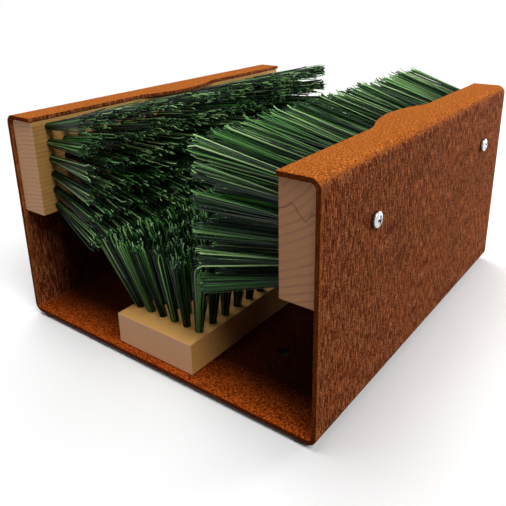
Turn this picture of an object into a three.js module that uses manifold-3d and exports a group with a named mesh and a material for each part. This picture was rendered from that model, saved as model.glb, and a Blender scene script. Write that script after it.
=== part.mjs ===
// Boot scraper: a folded sheet-steel channel that holds three wood-backed brushes.
// Millimetres. +Z is up, Y runs along the boot's path, the origin is on the ground under
// the middle of the channel. The front end, at -Y, and the back end are open.

import * as THREE from 'three';
import { mergeGeometries, mergeVertices } from 'three/addons/utils/BufferGeometryUtils.js';
import Module from 'manifold-3d';

const wasm = await Module();
wasm.setup();

// Driving dimensions

const sheet = {
  width: 260,
  length: 300,
  height: 158,
  thickness: 3,
  innerBend: 3.2,
};

// The inner edge of each lip swells into a smooth hump at mid-length.
const hump = {
  height: 10,
  crestRadius: 95,
  filletRadius: 35,
};

// Holes in the floor for fixing the scraper down.
const fixingHole = {
  diameter: 9,
  fromMiddleX: 66,
  fromMiddleY: 87,
};

// The wooden back of every brush is cut from one stock.
const backing = {
  thickness: 23,
  width: 69.5,
  faceSlice: 4,
};

// How far each brush back stops short of the sheet's ends
const endRecess = {
  side: 2,
  bottom: 5.5,
};

// The bottom brush stands a little left of the middle.
const bottomBrushOffset = -2;

// Tufts stand in a plain grid and lean outwards, most at the ends of rows and columns.
const tufts = {
  length: 60,
  rootWidth: 3,
  tipWidth: 3.8,
  rowPitch: 11.8,
  columnPitch: 13.75,
  rowMargin: 5.25,
  bottomRowMargin: 6.75,
  columnMargin: 10.5,
  rowSplay: 16.5,
  columnSplay: 14.5,
  rootDepth: 1,
};

const screw = {
  headDiameter: 10,
  headHeight: 2.6,
  headRim: 0.9,
  shankDiameter: 4.5,
  reachInWood: 16,
  pointLength: 5,
  recessSpan: 5.2,
  recessSlot: 1.1,
  recessDepth: 1.5,
  fromFrontEnd: 60,
  fromBackEnd: 49,
  belowCentreline: 2,
};

const foot = {
  diameter: 17,
  height: 3,
  edgeBevel: 0.8,
  fromSide: 13,
  fromEnd: 9.2,
};

// Clearances

const seatGap = 0.3;
const screwHoleGap = 0.5;
const pilotHoleGap = 0.3;
const pilotHoleExtra = 1;
const tipGap = 1;

// How far a cutter runs past the faces that it cuts
const cutMargin = 1;

// Facets

const roundSides = 24;
const footSides = 32;
const bendSteps = 6;
const humpSteps = 8;
const headDomeSteps = 4;

// Places worked out from the driving dimensions

const floorUnderside = foot.height;
const floorTop = floorUnderside + sheet.thickness;
const lipTop = floorUnderside + sheet.height;
const lipUnderside = lipTop - sheet.thickness;
const wallOuter = sheet.width / 2;
const wallInner = wallOuter - sheet.thickness;
const outerBend = sheet.innerBend + sheet.thickness;

// Each lip ends flush with the face of the brush back under it.
const sideFace = wallInner - seatGap - backing.thickness;
const lipEdge = sideFace;
const sideCentreZ = lipUnderside - seatGap - backing.width / 2;

const degrees = Math.PI / 180;
const sideRowSpan = backing.width - 2 * tufts.rowMargin;
const bottomRowSpan = backing.width - 2 * tufts.bottomRowMargin;
const rowCount = Math.max(2, Math.round(sideRowSpan / tufts.rowPitch) + 1);
const columnSpan = sheet.length - 2 * endRecess.side - 2 * tufts.columnMargin;
const columnCount = Math.max(2, Math.round(columnSpan / tufts.columnPitch) + 1);
const columnStep = columnSpan / (columnCount - 1);

const screwPlaces = [
  ['front', -sheet.length / 2 + screw.fromFrontEnd],
  ['back', sheet.length / 2 - screw.fromBackEnd],
];

// Materials

const weatheringSteel = new THREE.MeshStandardMaterial({
  color: '#83472a', roughness: 0.88, metalness: 0.1,
});
const beech = new THREE.MeshStandardMaterial({
  color: '#c79c67', roughness: 0.7, metalness: 0,
});
const greenFilament = new THREE.MeshStandardMaterial({
  color: '#2c5a35', roughness: 0.45, metalness: 0,
});
const zincPlate = new THREE.MeshStandardMaterial({
  color: '#c9ccd0', roughness: 0.3, metalness: 0.95,
});
const blackRubber = new THREE.MeshStandardMaterial({
  color: '#1d1c1b', roughness: 0.85, metalness: 0,
});

// Solid helpers

function toSolid(geometry) {
  const bare = geometry.clone();
  bare.deleteAttribute('normal');
  bare.deleteAttribute('uv');
  const merged = mergeVertices(bare);
  return new wasm.Manifold(new wasm.Mesh({
    numProp: 3,
    vertProperties: new Float32Array(merged.attributes.position.array),
    triVerts: new Uint32Array(merged.index.array),
  }));
}

function toGeometry(solid) {
  const mesh = solid.getMesh();
  const geometry = new THREE.BufferGeometry();
  geometry.setAttribute('position', new THREE.BufferAttribute(mesh.vertProperties, 3));
  geometry.setIndex(new THREE.BufferAttribute(mesh.triVerts, 1));
  geometry.computeVertexNormals();
  return geometry;
}

function cutFrom(solid, cutters) {
  return cutters.reduce((rest, cutter) => rest.subtract(toSolid(cutter)), solid);
}

function namedMesh(name, geometry, material) {
  const mesh = new THREE.Mesh(geometry, material);
  mesh.name = name;
  return mesh;
}

function roundBar(diameter, from, to) {
  const bar = new THREE.CylinderGeometry(diameter / 2, diameter / 2, to - from, roundSides);
  bar.rotateX(Math.PI / 2);
  bar.translate(0, 0, (from + to) / 2);
  return bar;
}

// Extrudes an outline drawn in X and Z along Y, centred on the origin.
function extrudeAlongY(outline, length, curveSegments) {
  const prism = new THREE.ExtrudeGeometry(outline, {
    depth: length, bevelEnabled: false, curveSegments,
  });
  prism.rotateX(Math.PI / 2);
  prism.translate(0, length / 2, 0);
  return prism;
}

// Folded sheet: a C-shaped section with rounded bends

function channelSection() {
  const reach = lipEdge - hump.height - cutMargin;
  const bendX = wallOuter - outerBend;
  const bendLow = floorUnderside + outerBend;
  const bendHigh = lipTop - outerBend;
  const quarter = Math.PI / 2;
  const inner = sheet.innerBend;
  const section = new THREE.Shape();
  section.moveTo(-reach, lipUnderside);
  section.lineTo(-reach, lipTop);
  section.absarc(-bendX, bendHigh, outerBend, quarter, 2 * quarter, false);
  section.absarc(-bendX, bendLow, outerBend, 2 * quarter, 3 * quarter, false);
  section.absarc(bendX, bendLow, outerBend, 3 * quarter, 4 * quarter, false);
  section.absarc(bendX, bendHigh, outerBend, 0, quarter, false);
  section.lineTo(reach, lipTop);
  section.lineTo(reach, lipUnderside);
  section.absarc(bendX, bendHigh, inner, quarter, 0, true);
  section.absarc(bendX, bendLow, inner, 4 * quarter, 3 * quarter, true);
  section.absarc(-bendX, bendLow, inner, 3 * quarter, 2 * quarter, true);
  section.absarc(-bendX, bendHigh, inner, 2 * quarter, quarter, true);
  section.closePath();
  return section;
}

// Adds the edge of one lip to a plan outline. side is 1 on the right and -1 on the left.
// The hump is a convex arc between two concave fillets, and meets the straight edge smoothly.
function addLipEdge(outline, side) {
  const turn = Math.acos(1 - hump.height / (hump.crestRadius + hump.filletRadius));
  const halfLength = (hump.crestRadius + hump.filletRadius) * Math.sin(turn);
  const filletX = side * (lipEdge - hump.filletRadius);
  const crestX = side * (lipEdge - hump.height + hump.crestRadius);
  const facing = side > 0 ? 0 : Math.PI;
  const crestFacing = side > 0 ? Math.PI : 0;
  outline.absarc(filletX, -side * halfLength, hump.filletRadius, facing, facing + turn, false);
  outline.absarc(crestX, 0, hump.crestRadius, crestFacing + turn, crestFacing - turn, true);
  outline.absarc(filletX, side * halfLength, hump.filletRadius, facing - turn, facing, false);
}

// The space between the lips, seen from above, which is cut out of the section.
function mouthCutter() {
  const beyond = sheet.length / 2 + cutMargin;
  const outline = new THREE.Shape();
  outline.moveTo(-lipEdge, -beyond);
  outline.lineTo(lipEdge, -beyond);
  addLipEdge(outline, 1);
  outline.lineTo(lipEdge, beyond);
  outline.lineTo(-lipEdge, beyond);
  addLipEdge(outline, -1);
  outline.closePath();
  const cutter = new THREE.ExtrudeGeometry(outline, {
    depth: sheet.thickness + 2 * cutMargin, bevelEnabled: false, curveSegments: humpSteps,
  });
  cutter.translate(0, 0, lipUnderside - cutMargin);
  return cutter;
}

function sheetHoles() {
  const holes = [];
  const diameter = screw.shankDiameter + 2 * screwHoleGap;
  const screwZ = sideCentreZ - screw.belowCentreline;
  for (const [, y] of screwPlaces) {
    for (const side of [-1, 1]) {
      const wallHole = roundBar(diameter, wallInner - cutMargin, wallOuter + cutMargin);
      wallHole.rotateY(side * Math.PI / 2);
      wallHole.translate(0, y, screwZ);
      holes.push(wallHole);
    }
    const floorHole = roundBar(diameter, floorUnderside - cutMargin, floorTop + cutMargin);
    floorHole.translate(bottomBrushOffset, y, 0);
    holes.push(floorHole);
  }
  for (const x of [-fixingHole.fromMiddleX, fixingHole.fromMiddleX]) {
    for (const y of [-fixingHole.fromMiddleY, fixingHole.fromMiddleY]) {
      const hole = roundBar(
        fixingHole.diameter, floorUnderside - cutMargin, floorTop + cutMargin,
      );
      hole.translate(x, y, 0);
      holes.push(hole);
    }
  }
  return holes;
}

function steelBody() {
  const blank = toSolid(extrudeAlongY(channelSection(), sheet.length, bendSteps));
  return toGeometry(cutFrom(blank, [mouthCutter(), ...sheetHoles()]));
}

// Brushes. Each is built lying on its back: the mounting face is at Z = 0, the bristles
// point to +Z, rows are spread over X and columns over Y.

// easedEdge is the X side whose mounting edge is rounded to pass the inside of a bend,
// or 0 where both edges stay square.
function backingOutline(easedEdge) {
  const half = backing.width / 2;
  const top = backing.thickness - backing.faceSlice - seatGap;
  const ease = sheet.innerBend;
  const outline = new THREE.Shape();
  outline.moveTo(half, top);
  outline.lineTo(-half, top);
  if (easedEdge < 0) {
    outline.absarc(-half + ease, ease, ease, Math.PI, 1.5 * Math.PI, false);
  } else {
    outline.lineTo(-half, 0);
  }
  if (easedEdge > 0) {
    outline.absarc(half - ease, ease, ease, 1.5 * Math.PI, 2 * Math.PI, false);
  } else {
    outline.lineTo(half, 0);
  }
  outline.closePath();
  return outline;
}

function brushBack(length, easedEdge, screwX) {
  const diameter = screw.shankDiameter + 2 * pilotHoleGap;
  const pilots = screwPlaces.map(([, y]) => {
    const pilot = roundBar(diameter, -cutMargin, screw.reachInWood + pilotHoleExtra);
    pilot.translate(screwX, y, 0);
    return pilot;
  });
  const back = toSolid(extrudeAlongY(backingOutline(easedEdge), length, bendSteps));
  return toGeometry(cutFrom(back, pilots));
}

// One four-sided strand from its root to its tip, square across its own direction.
function strand(root, direction) {
  const body = new THREE.CylinderGeometry(
    tufts.tipWidth / Math.SQRT2, tufts.rootWidth / Math.SQRT2, 1, 4, 1,
  );
  body.rotateY(Math.PI / 4);
  body.translate(0, 0.5, 0);
  body.rotateX(Math.PI / 2);
  body.scale(1, 1, tufts.length + tufts.rootDepth);
  const turn = new THREE.Quaternion();
  turn.setFromUnitVectors(new THREE.Vector3(0, 0, 1), direction);
  body.applyQuaternion(turn);
  const start = root.clone().addScaledVector(direction, -tufts.rootDepth);
  body.translate(start.x, start.y, start.z);
  return body;
}

function bristleField(length, columns, rowSpan, rowSplay) {
  const face = backing.thickness;
  const strands = [];
  for (let row = 0; row < rowCount; row += 1) {
    const across = row / (rowCount - 1) - 0.5;
    for (let column = 0; column < columns; column += 1) {
      const y = (column - (columns - 1) / 2) * columnStep;
      const along = y / columnSpan;
      const direction = new THREE.Vector3(
        Math.tan(2 * across * rowSplay * degrees),
        Math.tan(2 * along * tufts.columnSplay * degrees),
        1,
      ).normalize();
      strands.push(strand(new THREE.Vector3(across * rowSpan, y, face), direction));
    }
  }
  const slice = new THREE.BoxGeometry(backing.width, length, backing.faceSlice);
  slice.translate(0, 0, face - backing.faceSlice / 2);
  return toGeometry(toSolid(slice).add(toSolid(mergeGeometries(strands))));
}

// Pan-head screw with a cross recess, its head towards -Z
function panHeadScrew() {
  const headSeat = -(seatGap + sheet.thickness + seatGap);
  const headTop = headSeat - screw.headHeight;
  const radius = screw.shankDiameter / 2;
  const headRadius = screw.headDiameter / 2;
  const dome = screw.headHeight - screw.headRim;
  const profile = [new THREE.Vector2(0, screw.reachInWood)];
  profile.push(new THREE.Vector2(radius, screw.reachInWood - screw.pointLength));
  profile.push(new THREE.Vector2(radius, headSeat));
  profile.push(new THREE.Vector2(headRadius, headSeat));
  for (let step = 0; step <= headDomeSteps; step += 1) {
    const angle = (step / headDomeSteps) * Math.PI / 2;
    const x = step === headDomeSteps ? 0 : headRadius * Math.cos(angle);
    profile.push(new THREE.Vector2(x, headTop + dome - dome * Math.sin(angle)));
  }
  const turned = new THREE.LatheGeometry(profile.reverse(), roundSides);
  turned.rotateX(Math.PI / 2);
  const slots = [0, Math.PI / 2].map((angle) => {
    const slot = new THREE.BoxGeometry(screw.recessSpan, screw.recessSlot, 2 * screw.recessDepth);
    slot.rotateZ(angle);
    slot.translate(0, 0, headTop);
    return slot;
  });
  return toGeometry(cutFrom(toSolid(turned), slots));
}

function makeBrush(name, { length, columns, rowSpan, rowSplay, easedEdge, screwX }) {
  const brush = new THREE.Group();
  const bristles = bristleField(length, columns, rowSpan, rowSplay);
  brush.add(namedMesh(`${name}_brush_block`, brushBack(length, easedEdge, screwX), beech));
  brush.add(namedMesh(`${name}_bristles`, bristles, greenFilament));
  for (const [place, y] of screwPlaces) {
    const fastener = namedMesh(`${name}_screw_${place}`, panHeadScrew(), zincPlate);
    fastener.position.set(screwX, y, 0);
    brush.add(fastener);
  }
  return brush;
}

// The angle at which the bottom brush's outer row passes just inside the tips of the side
// brushes' lowest rows, so that the two meet without crossing.
function bottomRowSplay() {
  const splay = tufts.rowSplay * degrees;
  const tipX = sideFace - tufts.length * Math.cos(splay);
  const tipZ = sideCentreZ - sideRowSpan / 2 - tufts.length * Math.sin(splay);
  const rootX = Math.abs(bottomBrushOffset) + bottomRowSpan / 2;
  const rise = tipZ - (floorTop + seatGap + backing.thickness);
  return Math.atan2(tipX - tufts.tipWidth - tipGap - rootX, rise) / degrees;
}

// Rubber feet

function rubberFoot() {
  const radius = foot.diameter / 2;
  const top = foot.height - seatGap;
  const profile = [
    new THREE.Vector2(0, 0),
    new THREE.Vector2(radius - foot.edgeBevel, 0),
    new THREE.Vector2(radius, foot.edgeBevel),
    new THREE.Vector2(radius, top),
    new THREE.Vector2(0, top),
  ];
  const turned = new THREE.LatheGeometry(profile, footSides);
  turned.rotateX(Math.PI / 2);
  return toGeometry(toSolid(turned));
}

// Assembly

const bootScraper = new THREE.Group();
bootScraper.add(namedMesh('steel_body', steelBody(), weatheringSteel));

const sideBrush = {
  length: sheet.length - 2 * endRecess.side,
  columns: columnCount,
  rowSpan: sideRowSpan,
  rowSplay: tufts.rowSplay,
};

// Turned onto the left wall, the brush's -X edge is its upper one.
const leftBrush = makeBrush('left', {
  ...sideBrush, easedEdge: -1, screwX: screw.belowCentreline,
});
leftBrush.rotation.y = Math.PI / 2;
leftBrush.position.set(-wallInner + seatGap, 0, sideCentreZ);
bootScraper.add(leftBrush);

const rightBrush = makeBrush('right', {
  ...sideBrush, easedEdge: 1, screwX: -screw.belowCentreline,
});
rightBrush.rotation.y = -Math.PI / 2;
rightBrush.position.set(wallInner - seatGap, 0, sideCentreZ);
bootScraper.add(rightBrush);

// The bottom brush's columns stand midway between those of the side brushes.
const bottomBrush = makeBrush('bottom', {
  length: sheet.length - 2 * endRecess.bottom,
  columns: columnCount - 1,
  rowSpan: bottomRowSpan,
  rowSplay: bottomRowSplay(),
  easedEdge: 0,
  screwX: 0,
});
bottomBrush.position.set(bottomBrushOffset, 0, floorTop + seatGap);
bootScraper.add(bottomBrush);

for (const [end, towardsEnd] of [['front', -1], ['back', 1]]) {
  for (const [hand, towardsSide] of [['left', -1], ['right', 1]]) {
    const pad = namedMesh(`foot_${end}_${hand}`, rubberFoot(), blackRubber);
    pad.position.x = towardsSide * (wallOuter - foot.fromSide);
    pad.position.y = towardsEnd * (sheet.length / 2 - foot.fromEnd);
    bootScraper.add(pad);
  }
}

export default bootScraper;
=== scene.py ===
"""Looks of a boot scraper: a folded weathering-steel channel that holds three brushes.

Every size is in metres. X runs across the walls, Y along the boot's path with the open
front at -Y, and Z is up, with the ground at zero.
"""

import math
import random

import bmesh
import bpy
from bpy.props import FloatProperty, FloatVectorProperty, IntProperty, PointerProperty
from mathutils import Matrix, Vector


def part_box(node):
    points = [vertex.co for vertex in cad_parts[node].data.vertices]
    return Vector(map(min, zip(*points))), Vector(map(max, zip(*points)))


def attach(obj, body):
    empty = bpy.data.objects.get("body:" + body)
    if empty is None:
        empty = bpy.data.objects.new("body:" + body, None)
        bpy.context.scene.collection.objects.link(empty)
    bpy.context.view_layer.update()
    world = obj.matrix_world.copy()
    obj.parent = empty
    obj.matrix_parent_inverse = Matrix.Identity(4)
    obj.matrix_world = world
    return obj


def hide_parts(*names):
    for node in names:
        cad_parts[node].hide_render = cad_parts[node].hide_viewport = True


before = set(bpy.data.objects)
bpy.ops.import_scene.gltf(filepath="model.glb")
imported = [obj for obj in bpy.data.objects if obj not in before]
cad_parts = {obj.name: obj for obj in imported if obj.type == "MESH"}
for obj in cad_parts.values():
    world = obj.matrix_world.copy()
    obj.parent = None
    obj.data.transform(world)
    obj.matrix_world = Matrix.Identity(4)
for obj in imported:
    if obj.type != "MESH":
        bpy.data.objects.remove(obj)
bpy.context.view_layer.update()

bl_info = {
    "name": "Boot scraper",
    "version": (1, 0, 0),
    "blender": (4, 5, 0),
    "location": "View3D > Sidebar > Boot scraper",
    "description": "Builds a boot scraper with its folded sheet, brushes, screws and feet",
    "category": "Add Mesh",
}

MM = 0.001
BODY = "root"

# The Mix node's sockets share their names, so its colours and numbers go by position
MIX_FACTOR = 0
MIX_A = 6
MIX_B = 7
MIX_RESULT = 2
NUMBER_A = 2
NUMBER_B = 3
NUMBER_RESULT = 0

# Round pieces are turned in this many steps
LATHE_STEPS = 48

# Points closer than this are one point
SAME_POINT = 0.001 * MM

# Edges sharper than the first are rounded, and those sharper than the second show as edges
ROUNDED_EDGE = math.radians(40)
SHOWN_EDGE = math.radians(35)


def linear(hex_colour):
    """Turns an sRGB hex value into linear RGB with full alpha."""
    channels = [int(hex_colour[i:i + 2], 16) / 255 for i in (1, 3, 5)]
    return tuple(
        c / 12.92 if c <= 0.04045 else ((c + 0.055) / 1.055) ** 2.4 for c in channels
    ) + (1.0,)


def length_prop(name, description, default):
    return FloatProperty(
        name=name, description=description, default=default, min=0, precision=4,
        subtype="DISTANCE", unit="LENGTH",
    )


def angle_prop(name, description, degrees):
    return FloatProperty(
        name=name, description=description, default=math.radians(degrees),
        subtype="ANGLE", unit="ROTATION",
    )


def colour_prop(name, description, hex_colour):
    return FloatVectorProperty(
        name=name, description=description, default=linear(hex_colour), size=4,
        min=0, max=1, subtype="COLOR",
    )


# Sizes and colours that can be changed in the sidebar

class SheetSettings(bpy.types.PropertyGroup):
    thickness: length_prop("Thickness", "Thickness of the folded sheet", 3 * MM)
    outer_bend: length_prop("Outer bend", "Outside radius of the four bends", 6.2 * MM)
    cut_edge: length_prop("Cut edge", "Rounding of the sheet's cut edges", 0.35 * MM)
    hump_height: length_prop("Hump height", "How far each lip swells at mid-length", 10 * MM)
    hump_crest: length_prop("Hump crest", "Radius of the hump's crest", 95 * MM)
    hump_fillet: length_prop("Hump fillet", "Radius where the hump meets the lip", 35 * MM)
    fixing_hole: length_prop("Fixing hole", "Diameter of the floor's fixing holes", 9 * MM)
    fixing_x: length_prop("Fixing across", "Fixing holes from the middle, across", 66 * MM)
    fixing_y: length_prop("Fixing along", "Fixing holes from the middle, along", 87 * MM)
    screw_hole: length_prop("Screw hole", "Diameter of the brush screws' holes", 5.5 * MM)
    rust: colour_prop("Rust", "Orange rust on the level faces", "#bb6420")
    rust_dark: colour_prop("Dark rust", "Darker grains in the orange rust", "#974c17")
    rust_sheltered: colour_prop("Sheltered rust", "Redder rust on the floor", "#b45010")
    patina: colour_prop("Patina", "Brown patina on the upright faces", "#9a522d")
    patina_dark: colour_prop("Dark patina", "Run marks in the brown patina", "#552410")
    # Painted shade: darkens the inside away from the ends, partly the real dry mill scale
    scale_and_shade: colour_prop("Mill scale", "Shade of the dry inside", "#64564f")


class BackSettings(bpy.types.PropertyGroup):
    thickness: length_prop("Thickness", "Thickness of the wooden backs", 23 * MM)
    corner: length_prop("Corner", "Rounding of the sawn edges", 0.8 * MM)
    eased_corner: length_prop("Eased corner", "Rounding that clears a bend", 3.2 * MM)
    hole_depth: length_prop("Hole depth", "Depth of the drilled tuft holes", 4 * MM)
    wood: colour_prop("Wood", "Beech between its growth rings", "#dda65c")
    wood_dark: colour_prop("Dark wood", "Late wood of the growth rings", "#9c6a3c")


class TuftSettings(bpy.types.PropertyGroup):
    length: length_prop("Length", "How far the filaments stand out of the wood", 60 * MM)
    hole: length_prop("Hole", "Diameter of a tuft at its hole", 5.4 * MM)
    spread: length_prop("Spread", "Diameter of a tuft at its tip", 12.0 * MM)
    filament: length_prop("Filament", "Diameter of one filament", 0.8 * MM)
    count: IntProperty(name="Filaments", description="Filaments in a tuft", default=34, min=3)
    rows: IntProperty(name="Rows", description="Rows of tufts", default=6, min=2)
    side_columns: IntProperty(
        name="Side columns", description="Columns of tufts on a side brush", default=21, min=2,
    )
    row_margin: length_prop("Row margin", "Outer rows from a side back's edges", 5.25 * MM)
    bottom_margin: length_prop("Bottom margin", "Outer rows from its back's edges", 6.75 * MM)
    column_pitch: length_prop("Column pitch", "Distance between columns", 13.5 * MM)
    row_splay: angle_prop("Row splay", "Lean of a side brush's outer rows", 12.3)
    row_sag: angle_prop("Row sag", "How much less the left's top row leans near its back", 3.5)
    row_droop: angle_prop("Row droop", "How much more the right's bottom row leans", 3.2)
    column_splay: angle_prop("Column splay", "Lean of a side brush's outer columns", 11.3)
    bottom_row_splay: angle_prop("Bottom row splay", "Lean of the bottom's outer rows", 14.5)
    bottom_column_splay: angle_prop("Bottom column splay", "Lean of its outer columns", 13.5)
    # Painted light: lightens the right brush's upper rows, most at the top row, where light
    # glints on them; it is not bleaching
    top_row_light: FloatProperty(
        name="Fading", description="How far daylight has bleached the right brush's top row",
        default=0.36, min=0, max=1, subtype="FACTOR",
    )
    green: colour_prop("Green", "Filament plastic", "#15351a")
    cut_end: colour_prop("Cut end", "Trimmed ends of the filaments", "#8ba888")


class ScrewSettings(bpy.types.PropertyGroup):
    head: length_prop("Head", "Diameter of the pan head", 10 * MM)
    head_height: length_prop("Head height", "Height of the wall screws' heads", 3.4 * MM)
    floor_head_height: length_prop(
        "Floor head height", "Height of the floor screws' heads", 2.6 * MM,
    )
    shank: length_prop("Shank", "Diameter of the shank", 4.5 * MM)
    reach: length_prop("Reach", "How deep the screw goes into the wood", 16 * MM)
    zinc: colour_prop("Zinc", "Bright zinc plate", "#d3d5d6")


class FootSettings(bpy.types.PropertyGroup):
    edge: length_prop("Edge", "Rounding of the foot's lower edge", 0.8 * MM)
    rubber: colour_prop("Rubber", "Black rubber", "#1b1918")


# Helpers

def add_node(tree, kind, inputs=(), stops=(), **settings):
    """Adds a shader node with its settings, its ramp stops, and its inputs' values or links."""
    node = tree.nodes.new("ShaderNode" + kind)
    for name, value in settings.items():
        setattr(node, name, value)
    if stops:
        ramp = node.color_ramp.elements
        while len(ramp) < len(stops):
            ramp.new(1.0)
        for element, (position, colour) in zip(ramp, stops):
            element.position = position
            element.color = colour
    for key, value in dict(inputs).items():
        if isinstance(value, bpy.types.NodeSocket):
            tree.links.new(value, node.inputs[key])
        else:
            node.inputs[key].default_value = value
    return node


def new_material(name):
    """Returns an empty node material, its tree and its output's surface socket."""
    material = bpy.data.materials.new(name)
    material.use_nodes = True
    tree = material.node_tree
    tree.nodes.clear()
    surface = add_node(tree, "OutputMaterial").inputs["Surface"]
    return material, tree, surface


def finish_piece(bm, name, materials, smooth_angle=math.radians(50)):
    """Turns a bmesh into a piece that rides on the body."""
    mesh = bpy.data.meshes.new(name)
    bm.to_mesh(mesh)
    bm.free()
    for material in materials:
        mesh.materials.append(material)
    mesh.shade_smooth()
    mesh.set_sharp_from_angle(angle=smooth_angle)
    piece = bpy.data.objects.new(name, mesh)
    bpy.context.scene.collection.objects.link(piece)
    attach(piece, BODY)
    return piece


def cut_from(bm, cutter_bm):
    """Cuts one closed bmesh from another and returns the result as a new bmesh."""
    objects = []
    for source in (bm, cutter_bm):
        mesh = bpy.data.meshes.new("cut")
        source.to_mesh(mesh)
        source.free()
        holder = bpy.data.objects.new("cut", mesh)
        bpy.context.scene.collection.objects.link(holder)
        objects.append(holder)
    target, cutter = objects
    boolean = target.modifiers.new("Cut", "BOOLEAN")
    boolean.operation = "DIFFERENCE"
    boolean.solver = "EXACT"
    boolean.object = cutter
    evaluated = target.evaluated_get(bpy.context.evaluated_depsgraph_get())
    result = bmesh.new()
    result.from_mesh(evaluated.to_mesh())
    evaluated.to_mesh_clear()
    for holder in objects:
        mesh = holder.data
        bpy.data.objects.remove(holder)
        bpy.data.meshes.remove(mesh)
    bmesh.ops.remove_doubles(result, verts=result.verts, dist=SAME_POINT)
    return result


def add_cylinder(bm, diameter, start, end, segments=32):
    """Adds a closed cylinder between two points."""
    axis = Vector(end) - Vector(start)
    turn = axis.to_track_quat("Z", "Y").to_matrix().to_4x4()
    middle = (Vector(start) + Vector(end)) / 2
    bmesh.ops.create_cone(
        bm, cap_ends=True, segments=segments, radius1=diameter / 2, radius2=diameter / 2,
        depth=axis.length, matrix=Matrix.Translation(middle) @ turn,
    )


def add_block(bm, low, high):
    """Adds a closed box between two corners and returns its vertices."""
    size = Vector(high) - Vector(low)
    place = Matrix.Translation((Vector(high) + Vector(low)) / 2)
    return bmesh.ops.create_cube(bm, size=1, matrix=place @ Matrix.Diagonal((*size, 1)))["verts"]


def lathe(profile, segments):
    """Spins a profile of (radius, height) points round Z into a closed solid."""
    bm = bmesh.new()
    points = [bm.verts.new((radius, 0, height)) for radius, height in profile]
    edges = [bm.edges.new(pair) for pair in zip(points, points[1:])]
    bmesh.ops.spin(
        bm, geom=points + edges, cent=(0, 0, 0), axis=(0, 0, 1), angle=2 * math.pi,
        steps=segments, use_merge=True,
    )
    bmesh.ops.remove_doubles(bm, verts=bm.verts, dist=SAME_POINT)
    bmesh.ops.recalc_face_normals(bm, faces=bm.faces)
    return bm


def arc_points(bm, start, centre, angle, steps):
    """Carries a vertex round a centre in the XY plane, leaving edges, and returns the last."""
    spun = bmesh.ops.spin(
        bm, geom=[start], cent=centre, axis=(0, 0, 1), angle=angle, steps=steps, use_merge=False,
    )
    return spun["geom_last"][0]


# Where things are, taken from the frame

def sheet_box():
    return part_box("steel_body")


def screw_nodes():
    return [name for name in sorted(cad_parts) if "_screw_" in name]


def foot_nodes():
    return [name for name in sorted(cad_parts) if name.startswith("foot_")]


def screw_seat(name):
    """Where a screw's axis meets the outside of the sheet, and the way its head faces."""
    low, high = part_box(name)
    seat = (low + high) / 2
    sheet_low, sheet_high = sheet_box()
    if name.startswith("left"):
        seat.x = sheet_low.x
        return seat, Vector((-1, 0, 0))
    if name.startswith("right"):
        seat.x = sheet_high.x
        return seat, Vector((1, 0, 0))
    seat.z = sheet_low.z
    return seat, Vector((0, 0, -1))


def brush_frame(side):
    """Matrix from a brush lying on its back, face up at Z = 0, to its place in the channel."""
    low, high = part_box(side + "_brush_block")
    middle = (low + high) / 2
    thickness = bpy.context.scene.scraper_back.thickness
    if side == "left":
        place = Vector((low.x + thickness, middle.y, middle.z))
        return Matrix.Translation(place) @ Matrix.Rotation(math.pi / 2, 4, "Y")
    if side == "right":
        place = Vector((high.x - thickness, middle.y, middle.z))
        return Matrix.Translation(place) @ Matrix.Rotation(-math.pi / 2, 4, "Y")
    return Matrix.Translation(Vector((middle.x, middle.y, low.z + thickness)))


def back_size(side):
    """Width across the rows and length along the columns of a wooden back."""
    low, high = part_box(side + "_brush_block")
    width = high.x - low.x if side == "bottom" else high.z - low.z
    return width, high.y - low.y


def tuft_grid(side):
    """Roots of a brush's tufts on its face, each with its share of the full splay."""
    tufts = bpy.context.scene.scraper_tufts
    width, _ = back_size(side)
    margin = tufts.bottom_margin if side == "bottom" else tufts.row_margin
    row_span = width - 2 * margin
    full_span = (tufts.side_columns - 1) * tufts.column_pitch
    columns = tufts.side_columns - (1 if side == "bottom" else 0)
    grid = []
    for row in range(tufts.rows):
        across = row / (tufts.rows - 1) - 0.5
        for column in range(columns):
            y = (column - (columns - 1) / 2) * tufts.column_pitch
            grid.append((Vector((across * row_span, y, 0)), 2 * across, 2 * y / full_span))
    return grid


# Materials

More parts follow.
